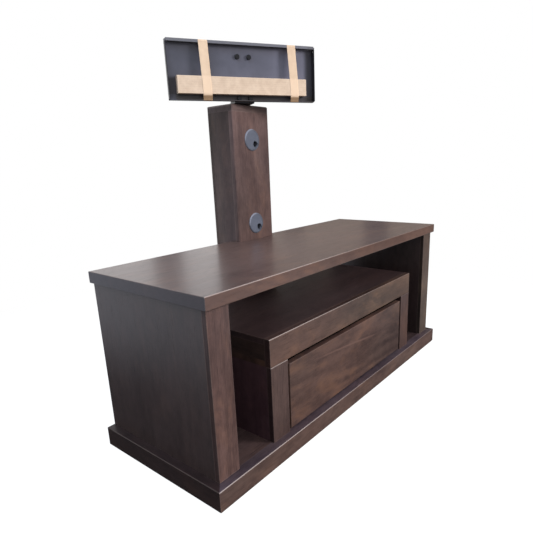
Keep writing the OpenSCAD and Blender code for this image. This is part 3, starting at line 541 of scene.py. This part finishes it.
# Cable grommets: a flanged liner pressed into the board and a slotted cap that turns in it, both
# moulded in dark grey plastic with a fine spark texture.
def moulded(name, colour, rough, shading=None):
    """Moulded plastic with a spark-eroded texture and faint marks of its flow."""
    finish = Finish(name)
    spark = finish.noise(2600, 2)
    flow = finish.noise(45, 3, rough=0.6)
    shade = finish.mix(flow.step(0.3, 0.75), toned(colour, 0.82), toned(colour, 1))
    if shading:
        shade = shading(finish, shade)
    return finish.coat({"Base Color": shade, "Roughness": rough + (flow - 0.5) * 0.14,
                        "Normal": finish.bump(spark, depth=0.00006, strength=0.5)})


def rim_highlight(finish, shade):
    """A painted highlight on the flanges round their upper left."""
    upper_z, halfway, lower_z = 0.831, 0.693, 0.555
    x, z = finish.place.output("X"), finish.place.output("Z")
    on_upper = z.step(halfway - 0.001, halfway + 0.001)
    above = z - lower_z - on_upper * (upper_z - lower_z)
    outward = (above * 0.72 - x * 0.69).step(0.014, 0.031)
    return finish.mix(outward * 0.62, shade, (0.30, 0.31, 0.38, 1))


dress(moulded("liner_plastic", (0.105, 0.114, 0.145), rough=0.36, shading=rim_highlight),
      "grommet_liners")
dress(moulded("cap_plastic", (0.125, 0.138, 0.180), rough=0.34),
      "upper_grommet_cap", "lower_grommet_cap")


# Swivel: a steel plate let into the cap, a nylon friction washer, and a threaded bolt with washers
# and nut that the bracket's arm turns on.
def powder_coat(name, colour, rough, level, shading=None):
    """Dark satin powder coat on sheet steel."""
    finish = Finish(name)
    peel = finish.noise(850, 2)
    haze = finish.noise(14, 4, rough=0.6)
    shade = finish.mix(haze.step(0.3, 0.72), toned(colour, 0.85), toned(colour, 1.08))
    if shading:
        shade = shading(finish, shade)
    return finish.coat({"Base Color": shade, "Roughness": rough + (haze - 0.5) * 0.16,
                        "Specular IOR Level": level,
                        "Normal": finish.bump(peel, depth=0.00012, strength=0.35)})


def skin(form, rings):
    """Joins each ring of points to the next with a band of four-sided faces."""
    for lower, upper in zip(rings, rings[1:]):
        for i in range(len(lower)):
            j = (i + 1) % len(lower)
            form.faces.new((lower[i], lower[j], upper[j], upper[i]))


def shaped(name, form, material):
    """Turns a finished shape into a piece with its faces outwards and one finish."""
    bmesh.ops.recalc_face_normals(form, faces=form.faces)
    mesh = bpy.data.meshes.new(name)
    form.to_mesh(mesh)
    form.free()
    mesh.materials.append(material)
    piece = bpy.data.objects.new(name, mesh)
    scene.collection.objects.link(piece)
    return piece


def fastener(name, body, parts, place, material):
    """Joins turned and threaded shapes into one piece and sets it in its place."""
    form = bmesh.new()
    for outlines, solid in parts:
        rings = [[form.verts.new(place @ Vector(point)) for point in outline] for outline in outlines]
        if solid:
            skin(form, rings)
            form.faces.new(reversed(rings[0]))
            form.faces.new(rings[-1])
        else:
            skin(form, rings + rings[:1])
    piece = shaped(name, form, material)
    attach(piece, body)
    return piece


def hex_radius(flats, angle):
    """How far a hexagon reaches at an angle; flats is its width across the flats."""
    return flats / 2 / math.cos((angle + math.pi / 6) % (math.pi / 3) - math.pi / 6)


def circle(radius, z, steps=48):
    """A ring of points round the upright axis."""
    return [(radius * math.cos(math.tau * i / steps), radius * math.sin(math.tau * i / steps), z)
            for i in range(steps)]


bearing_share = 0.475
chamfer = 0.55


def hex_ring(flats, z, slope, steps=48):
    """Outline of a hexagon whose corners fall away from its bearing circle by slope."""
    ring = []
    for i in range(steps):
        angle = math.tau * i / steps
        radius = hex_radius(flats, angle)
        ring.append((radius * math.cos(angle), radius * math.sin(angle),
                     z + slope * max(0.0, radius - flats * bearing_share)))
    return ring


def hex_head(flats, low, high):
    """A bolt head, chamfered above, with a washer face under it."""
    face_share, face_depth = 0.47, 0.0002
    return [circle(flats * face_share, low), hex_ring(flats, low + face_depth, 0),
            hex_ring(flats, high, -chamfer), circle(flats * bearing_share, high)], True


def hex_nut(flats, bore, low, high):
    """A nut, chamfered on both sides, with its bore countersunk."""
    mouth, sink = bore * 1.1, bore * 0.12
    return [circle(bore, low + sink), circle(mouth, low), circle(flats * bearing_share, low),
            hex_ring(flats, low, chamfer), hex_ring(flats, high, -chamfer),
            circle(flats * bearing_share, high), circle(mouth, high), circle(bore, high - sink)], False


def threaded(radius, pitch, low, high):
    """A shank with a rolled thread that runs out before its top and is chamfered at its end."""
    rows = []
    steps, tip = 28, 0.82
    depth = pitch * 0.5
    count = max(8, round((high - low) / pitch * 6))
    for k in range(count + 1):
        z = low + (high - low) * k / count
        run_out = min(1.0, (high - z) / (2 * pitch))
        start = min(1.0, (z - low) / pitch)
        row = []
        for i in range(steps):
            angle = math.tau * i / steps
            phase = (z / pitch - angle / math.tau) % 1
            groove = abs(2 * phase - 1) * depth * run_out
            r = (radius - groove) * (tip + (1 - tip) * start)
            row.append((r * math.cos(angle), r * math.sin(angle), z))
        rows.append(row)
    return rows, True


def washer(bore, rim, low, high):
    """A pressed washer with a rolled rim."""
    ease = (high - low) * 0.18
    return [circle(bore, low), circle(rim - ease, low), circle(rim, low + ease), circle(rim, high - ease),
            circle(rim - ease, high), circle(bore, high)], False


bolt_zinc = zinc_plate("bolt_zinc", (1, 1, 1), rough=0.28)
axis_place = Matrix.Translation((0, column_axis_y, 0))
pivot_flats, pivot_bore, pivot_rim = 0.024, 0.0081, 0.017
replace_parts(fastener("pivot_bolt_turned", "cabinet", [
    hex_head(pivot_flats, low=0.9502, high=0.9601),
    threaded(radius=0.00795, pitch=0.002, low=0.8981, high=0.9504)],
    axis_place, bolt_zinc), "pivot_bolt")
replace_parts(fastener("pivot_nut_cut", "cabinet", [
    hex_nut(pivot_flats, pivot_bore, low=0.9020, high=0.9150)],
    axis_place, bolt_zinc), "pivot_nut")
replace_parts(fastener("pivot_washers_pressed", "cabinet", [
    washer(pivot_bore, pivot_rim, low=0.9471, high=0.9501),
    washer(pivot_bore, pivot_rim, low=0.9150, high=0.9180)],
    axis_place, bolt_zinc), "pivot_washers")
dress(powder_coat("plate_coat", (0.026, 0.027, 0.032), rough=0.42, level=0.3), "swivel_base_plate")
dress(moulded("washer_nylon", (0.72, 0.72, 0.68), rough=0.45), "friction_washer")


# Swivel arm: a foot and an upright of thick steel plate with a gusset at each edge. Each gusset is
# fillet-welded to the foot and the upright, and the whole arm is powder-coated.
bracket_turn = math.radians(-30)


def on_arm(x, y, z):
    """A point given straight ahead of the bracket, turned with it about the column's axis."""
    return Vector((x * math.cos(bracket_turn) - y * math.sin(bracket_turn),
                   column_axis_y + x * math.sin(bracket_turn) + y * math.cos(bracket_turn), z))


arm_coat = powder_coat("arm_coat", (0.025, 0.024, 0.026), rough=0.42, level=0.30)
dress(arm_coat, "swivel_arm")
bead_radius, bead_steps, bead_sides = 0.0016, 44, 10
gusset_x, foot_top_z, upright_back_y = 0.0277, 0.9474, -0.0796
form = bmesh.new()
for side in (-1, 1):
    x = side * gusset_x
    for first, last, normal in (
            ((x, -0.0760, foot_top_z), (x, -0.0320, foot_top_z), (-side, 0, 1)),
            ((x, upright_back_y, 0.9640), (x, upright_back_y, 1.0040), (-side, 1, 0))):
        first, last = Vector(first), Vector(last)
        run = (last - first).normalized()
        out = Vector(normal).normalized()
        beside = run.cross(out)
        rings = []
        for k in range(bead_steps + 1):
            at = first.lerp(last, k / bead_steps)
            scales = 1 + 0.16 * math.cos(k * math.tau / 4)
            tapered = min(1, (0.4 + k) / 3, (0.4 + bead_steps - k) / 3)
            swell = bead_radius * scales * tapered
            angles = (math.tau * i / bead_sides for i in range(bead_sides))
            rings.append([form.verts.new(on_arm(*(at + swell * (math.cos(a) * out + math.sin(a) * beside))))
                          for a in angles])
        skin(form, rings)
        form.faces.new(rings[0])
        form.faces.new(rings[-1])
welds = shaped("gusset_welds", form, arm_coat)
welds.data.shade_smooth()
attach(welds, "bracket")


# Bracket pan: a shallow tray folded from 2 mm steel with a lip along its top, in a grey satin
# powder coat. Four black flange bolts hold it to the arm, with zinc-plated nuts behind.
def pan_light_and_shade(finish, shade):
    """Painted light and shade on the coat: lighter towards the right end, a painted highlight on the folded lip,
    and painted shadow by the right end wall, beside and under the carton and on the end walls.
    """
    across = (finish.place.output("X") * math.cos(bracket_turn)
              + (finish.place.output("Y") - column_axis_y) * math.sin(bracket_turn))
    up = finish.place.output("Z")
    # Painted light: the coat lightened in two steps towards the right end.
    for start, end, gain in ((-0.20, 0.04, 1.38), (0.05, 0.19, 1.50)):
        shade = finish.tinted(across.step(start, end), shade, (gain, gain * 0.99, gain))
    # Painted shade by the right end, beside and under the carton and at the ends, and a painted highlight on the
    # lip.
    right_end_shadow = across.step(0.199, 0.221) * 0.82
    carton_shadow_beside = across.step(-0.206, -0.214) * up.step(0.960, 0.965) * up.step(1.018, 1.004) * 0.9
    shade_under_carton = across.step(-0.219, -0.211) * up.step(0.966, 0.961) * 0.85
    end_wall_shade = across.size().step(0.2325, 0.2343) * 0.92
    lip = up.step(1.1030, 1.1042) * 0.7
    for mask, colour in ((right_end_shadow, (0.018, 0.017, 0.021, 1)), (carton_shadow_beside, (0.024, 0.021, 0.026, 1)),
                         (shade_under_carton, (0.044, 0.037, 0.034, 1)), (end_wall_shade, (0.010, 0.009, 0.012, 1)),
                         (lip, (0.175, 0.170, 0.185, 1))):
        shade = finish.mix(mask, shade, colour)
    return shade


dress(powder_coat("pan_coat", (0.076, 0.076, 0.097), rough=0.44, level=0.35, shading=pan_light_and_shade),
      "bracket_pan")


def placed(parts, place):
    """Moves the outlines of turned shapes to where they are fitted."""
    return [([[place @ Vector(point) for point in outline] for outline in outlines], solid)
            for outlines, solid in parts]


tray_flats, tray_back_y = 0.013, -0.088
bolt_x, lower_bolt_z, upper_bolt_z = 0.0185, 0.9547, 1.074
flange = [circle(0.0074, 0.0), circle(0.0075, 0.0007), circle(0.0062, 0.0017), circle(0.0055, 0.0019)], True
tray_bolt = [flange, hex_head(tray_flats, low=0.0014, high=0.0069),
             threaded(radius=0.00395, pitch=0.00125, low=-0.0184, high=0.0002)]
tray_nut = [hex_nut(tray_flats, bore=0.00405, low=-0.0145, high=-0.0080)]
bolt_forms, nut_forms = [], []
for x in (-bolt_x, bolt_x):
    for z in (lower_bolt_z, upper_bolt_z):
        seat = (Matrix.Translation(on_arm(x, tray_back_y, z)) @ Matrix.Rotation(bracket_turn, 4, "Z")
                @ Matrix.Rotation(math.radians(90), 4, "X"))
        bolt_forms += placed(tray_bolt, seat)
        nut_forms += placed(tray_nut, seat)
bolt_black = powder_coat("bolt_black", (0.008, 0.008, 0.010), rough=0.38, level=0.3)
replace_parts(fastener("tray_bolts", "bracket", bolt_forms, Matrix(), bolt_black),
            "bracket_bolts")
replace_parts(fastener("tray_nuts", "bracket", nut_forms, Matrix(), bolt_zinc), "bracket_nuts")


# Carton of fittings: a long plain corrugated carton laid in the pan on the lower bolts. It is a
# glued sleeve with a tucked flap at each end.
def kraft(name, ground, light):
    """Corrugated board: mottled fibre, and flutes that show faintly through the facing."""
    finish = Finish(name)
    mottle = finish.noise(55, 5, rough=0.65)
    fleck = finish.noise(1500, 2).step(0.60, 0.72)
    flute = finish.node("ShaderNodeTexWave", {"wave_type": "BANDS", "bands_direction": "Z"},
                        {"Vector": finish.laid(), "Scale": 48, "Distortion": 0.4})
    colour = finish.mix(((mottle - 0.5) * 1.4 + (flute.output("Fac") - 0.5) * 0.10 + 0.5).step(0, 1),
                        ground, light)
    colour = finish.mix(fleck * 0.35, colour, toned(ground, 0.6))
    return finish.coat({"Base Color": colour, "Roughness": 0.78 + (mottle - 0.5) * 0.1,
                        "Specular IOR Level": 0.2,
                        "Normal": finish.bump(mottle + flute.output("Fac") * 0.4,
                                              depth=0.0003, strength=0.4)})


carton_low, carton_high = Vector((-0.2105, -0.112, 0.9626)), Vector((0.2025, -0.088, 1.0124))
wall, inset, crease, bow = 0.0025, 0.0008, 0.0012, 0.0007
fold, spans = 0.004, 24
first_fold, last_fold = carton_low.x + fold, carton_high.x - fold
between = (carton_high.x - carton_low.x - 2 * fold) / spans
stations = [carton_low.x, first_fold, *(first_fold + between * k for k in range(1, spans)),
            last_fold, carton_high.x]
form = bmesh.new()


def sleeve_ring(x, shrink=0.0):
    """One cross-section of the carton, with rounded creases and a top and front that bow inwards."""
    belly = bow * math.sin(math.pi * (x - carton_low.x) / (carton_high.x - carton_low.x))
    front, back = carton_low.y + shrink + crease, carton_high.y - shrink - crease
    base, top = carton_low.z + shrink + crease, carton_high.z - shrink - crease
    corners = []
    for quarter, (y, z) in enumerate(((back, top), (front, top), (front, base), (back, base))):
        for k in range(4):
            a = math.pi / 2 * (quarter + k / 3)
            corners.append((y + crease * math.cos(a), z + crease * math.sin(a)))
    outline = []
    for i, (y, z) in enumerate(corners):
        outline.append((y, z))
        if i % 4 == 3:
            next_y, next_z = corners[(i + 1) % 16]
            for t in (0.25, 0.5, 0.75):
                press = belly * math.sin(math.pi * t)
                outline.append((y + (next_y - y) * t + (press if i == 7 else 0),
                                z + (next_z - z) * t - (press if i == 3 else 0)))
    return [form.verts.new(on_arm(x, y, z)) for y, z in outline]


outer = [sleeve_ring(x) for x in stations]
left_in = [sleeve_ring(carton_low.x, wall), sleeve_ring(carton_low.x + inset, wall)]
right_in = [sleeve_ring(carton_high.x, wall), sleeve_ring(carton_high.x - inset, wall)]
rings = [left_in[1], left_in[0], *outer, right_in[0], right_in[1]]
skin(form, rings)
form.faces.new(rings[0])
form.faces.new(rings[-1])
carton = shaped("fittings_carton", form,
                kraft("kraft_board", (0.63, 0.465, 0.342, 1), (0.79, 0.612, 0.465, 1)))
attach(carton, "bracket")
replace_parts(carton, "carton")


# Tapes: two straps of tan paper tape, stuck from the top of the pan down over the carton and under
# the pan's edge, where they lie flat on the dark steel. They run out of plumb, with torn ends.
finish = Finish("paper_tape")
crepe = finish.noise(900, 3, (1, 1, 5))
blush = finish.noise(40, 4, rough=0.6)
height = finish.place.output("Z")
paper = finish.mix(((blush - 0.5) * 1.2 + (crepe - 0.5) * 0.4 + 0.5).step(0, 1),
                   (0.66, 0.465, 0.325, 1), (0.80, 0.595, 0.42, 1))
paper = finish.mix(height.step(1.018, 1.008) * 0.6, paper, (0.95, 0.70, 0.50, 1))
# The tape below the carton's bottom edge is darkened: painted shade.
tape_paper = finish.coat({
    "Base Color": finish.mix(height.step(0.9620, 0.9560), paper, (0.34, 0.215, 0.125, 1)),
    "Roughness": 0.5 + (crepe - 0.5) * 0.3, "Specular IOR Level": 0.3,
    "Normal": finish.bump(crepe, depth=0.00025, strength=0.5)})
strap_path = [(-0.091, 1.1120), (-0.106, 1.1120), (-0.106, 1.1040), (-0.112, 1.0124),
              (-0.112, 0.9624), (-0.106, 0.9470), (-0.106, 0.9450), (-0.091, 0.9450)]
strap_top, strap_drop = 1.112, 0.167
strap_width, strips, fold_step = 0.028, 14, 0.005
glue_side, paper_side = 0.00005, 0.00035
tear_depth, ripple_height = 0.0018, 0.00007
for name, top_x, low_x, seed in (("left_tape", -0.1262, -0.1218, 0.0), ("right_tape", 0.1552, 0.1628, 2.0)):
    line = []
    for (y0, z0), (y1, z1) in zip(strap_path, strap_path[1:]):
        pieces = max(2, round(math.hypot(y1 - y0, z1 - z0) / fold_step))
        out = Vector((z1 - z0, y0 - y1)).normalized()
        for k in range(pieces):
            t = k / pieces
            line.append((y0 + (y1 - y0) * t, z0 + (z1 - z0) * t, out))
    line.append((*strap_path[-1], out))
    last = len(line) - 1
    form = bmesh.new()
    sides = []
    for lift in (glue_side, paper_side):
        rows = []
        for k, (y, z, out) in enumerate(line):
            middle = top_x + (low_x - top_x) * (strap_top - z) / strap_drop
            width = strap_width * (1 + 0.012 * math.sin(1.7 * k + seed))
            row = []
            for i in range(strips + 1):
                u = i / strips - 0.5
                tear = tear_depth * math.sin(9.7 * i + seed) * math.sin(4.3 * i + 1.1 + seed)
                edge = tear if k == 0 else -tear if k == last else 0
                ripple = ripple_height * (1 + math.sin(31 * u + 2.3 * k + seed)) if 0 < k < last else 0
                away = lift + ripple
                row.append(form.verts.new(on_arm(
                    middle + u * width, y + out.x * away + edge, z + out.y * away)))
            rows.append(row)
        sides.append(rows)
    inner, outer = sides
    for a, b in zip(range(last), range(1, last + 1)):
        for i in range(strips):
            form.faces.new((outer[a][i], outer[a][i + 1], outer[b][i + 1], outer[b][i]))
            form.faces.new((inner[a][i], inner[b][i], inner[b][i + 1], inner[a][i + 1]))
        for i in (0, strips):
            form.faces.new((outer[a][i], outer[b][i], inner[b][i], inner[a][i]))
    for a in (0, last):
        for i in range(strips):
            form.faces.new((outer[a][i], inner[a][i], inner[a][i + 1], outer[a][i + 1]))
    strap = shaped(name + "_strap", form, tape_paper)
    strap.data.shade_smooth()
    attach(strap, "bracket")
    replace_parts(strap, name)


# Studio: a pale floor that turns white away from the stand, a soft key lamp at the front right,
# weaker ones at the front left and behind, a cool one over the left end, white surroundings with a
# grey card off to the right, and three dark cards behind, seen only in reflections, that put soft dark bands into
# the top's lacquer.
finish = Finish("studio_floor")
path = finish.node("ShaderNodeLightPath")
away = finish.node("ShaderNodeVectorMath", {"operation": "LENGTH"}, {0: finish.spot}, give="Value")
mirrored = (path.output("Is Glossy Ray") * path.output("Ray Length").step(0.45, 1.5)
            * finish.place.output("X").step(2.2, 0.6))
seen = (path.output("Is Camera Ray") + path.output("Is Transmission Ray") + mirrored).smaller(1.0)
tint = finish.mix(path.output("Is Glossy Ray"), (1, 1, 1, 1), (0.85, 0.89, 1, 1))
white = finish.node("ShaderNodeEmission", {}, {"Color": tint, "Strength": 0.86})
pale = finish.node("ShaderNodeBsdfDiffuse", {}, {"Color": (0.30, 0.30, 0.30, 1)})
lit = finish.node("ShaderNodeAddShader", {}, {0: white, 1: pale})
plain = finish.node("ShaderNodeEmission", {}, {"Color": tint, "Strength": 1.0})
lit = finish.node("ShaderNodeMixShader", {}, {0: away.step(0.9, 1.9), 1: lit, 2: plain})
ground = finish.node("ShaderNodeBsdfDiffuse", {}, {"Color": (0.11, 0.10, 0.10, 1)})
shown = finish.node("ShaderNodeMixShader", {}, {0: seen, 1: ground, 2: lit})
finish.node("ShaderNodeOutputMaterial", {}, {"Surface": shown})


def stage_sheet(name, corners, material):
    """A flat sheet of the studio, which isn't part of the stand."""
    mesh = bpy.data.meshes.new(name)
    mesh.from_pydata(corners, [], [(0, 1, 2, 3)])
    mesh.materials.append(material)
    sheet = bpy.data.objects.new(name, mesh)
    scene.collection.objects.link(sheet)
    return sheet


def evenly_lit(name, colour):
    """A studio colour that looks the same from all sides."""
    finish = Finish(name)
    glow = finish.node("ShaderNodeEmission", {}, {"Color": colour, "Strength": 1.0})
    finish.node("ShaderNodeOutputMaterial", {}, {"Surface": glow})
    return finish.material


reach = 24.0
stage_sheet("floor", [(-reach, -reach, 0), (reach, -reach, 0), (reach, reach, 0), (-reach, reach, 0)],
            finish.material)
mirrored_only = [stage_sheet("grey_card", [(3.5, -6, 0), (3.5, 3.4, 0), (3.5, 3.4, 3), (3.5, -6, 3)],
                             evenly_lit("grey_card", (0.36, 0.30, 0.26, 1)))]
# Three dark cards, seen only in reflections, that darken the top's reflection; nothing stands there.
reflection_card_black = evenly_lit("reflection_card_black", (0.10, 0.09, 0.10, 1))
for label, x, y, width, tall in (("left", 1.49, 2.735, 0.27, 2.4), ("middle", 2.38, 1.87, 0.20, 1.0),
                                 ("right", 2.72, 1.15, 0.22, 2.0)):
    sight = Vector((x - eye.x, y - eye.y)).normalized()
    half_x, half_y = sight.y * width / 2, -sight.x * width / 2
    mirrored_only.append(stage_sheet(f"dark_reflection_card_{label}", [
        (x - half_x, y - half_y, 0), (x + half_x, y + half_y, 0),
        (x + half_x, y + half_y, tall), (x - half_x, y - half_y, tall)], reflection_card_black))
for sheet in mirrored_only:
    sheet.visible_camera = False
    sheet.visible_diffuse = False
    sheet.visible_shadow = False
    sheet.visible_transmission = False


def softbox(name, place, aim, size, power, colour=(1, 1, 1)):
    """A rectangular lamp that points at its aim."""
    lamp = bpy.data.lights.new(name, "AREA")
    lamp.shape = "RECTANGLE"
    lamp.size, lamp.size_y = size
    lamp.energy = power
    lamp.color = colour
    hung = bpy.data.objects.new(name, lamp)
    scene.collection.objects.link(hung)
    hung.location = place
    hung.rotation_mode = "QUATERNION"
    hung.rotation_quaternion = (Vector(aim) - Vector(place)).to_track_quat("-Z", "Y")
    return hung


for lamp in (
        softbox("key", (1.5, -3.25, 1.95), aim=(0, 0, 0.6), size=(1.0, 0.8), power=128),
        softbox("front_left", (-1.0, -0.95, 1.15), aim=(-0.45, -0.15, 0.4), size=(0.5, 0.5), power=4.5,
                colour=(1, 0.95, 0.90)),
        softbox("rear", (0.7, 3.1, 1.7), aim=(0, 0.2, 0.5), size=(1.2, 1.0), power=20)):
    lamp.visible_glossy = False
softbox("left_top", (-1.1, 0.1, 1.9), aim=(-0.55, 0.0, 0.3), size=(1.0, 1.2), power=16,
        colour=(0.70, 0.84, 1.0))
world = bpy.data.worlds.new("surroundings")
world.use_nodes = True
scene.world = world
sky = Tree(world.node_tree)
path = sky.node("ShaderNodeLightPath")
seen = (path.output("Is Camera Ray") + path.output("Is Glossy Ray")
        + path.output("Is Transmission Ray")).smaller(1.0)
plain = sky.node("ShaderNodeBackground", {}, {"Color": (1, 1, 1, 1), "Strength": 1.0})
soft = sky.node("ShaderNodeBackground", {}, {"Color": (0.86, 0.92, 1, 1), "Strength": 0.50})
both = sky.node("ShaderNodeMixShader", {}, {0: seen, 1: soft, 2: plain})
sky.node("ShaderNodeOutputWorld", {}, {"Surface": both})
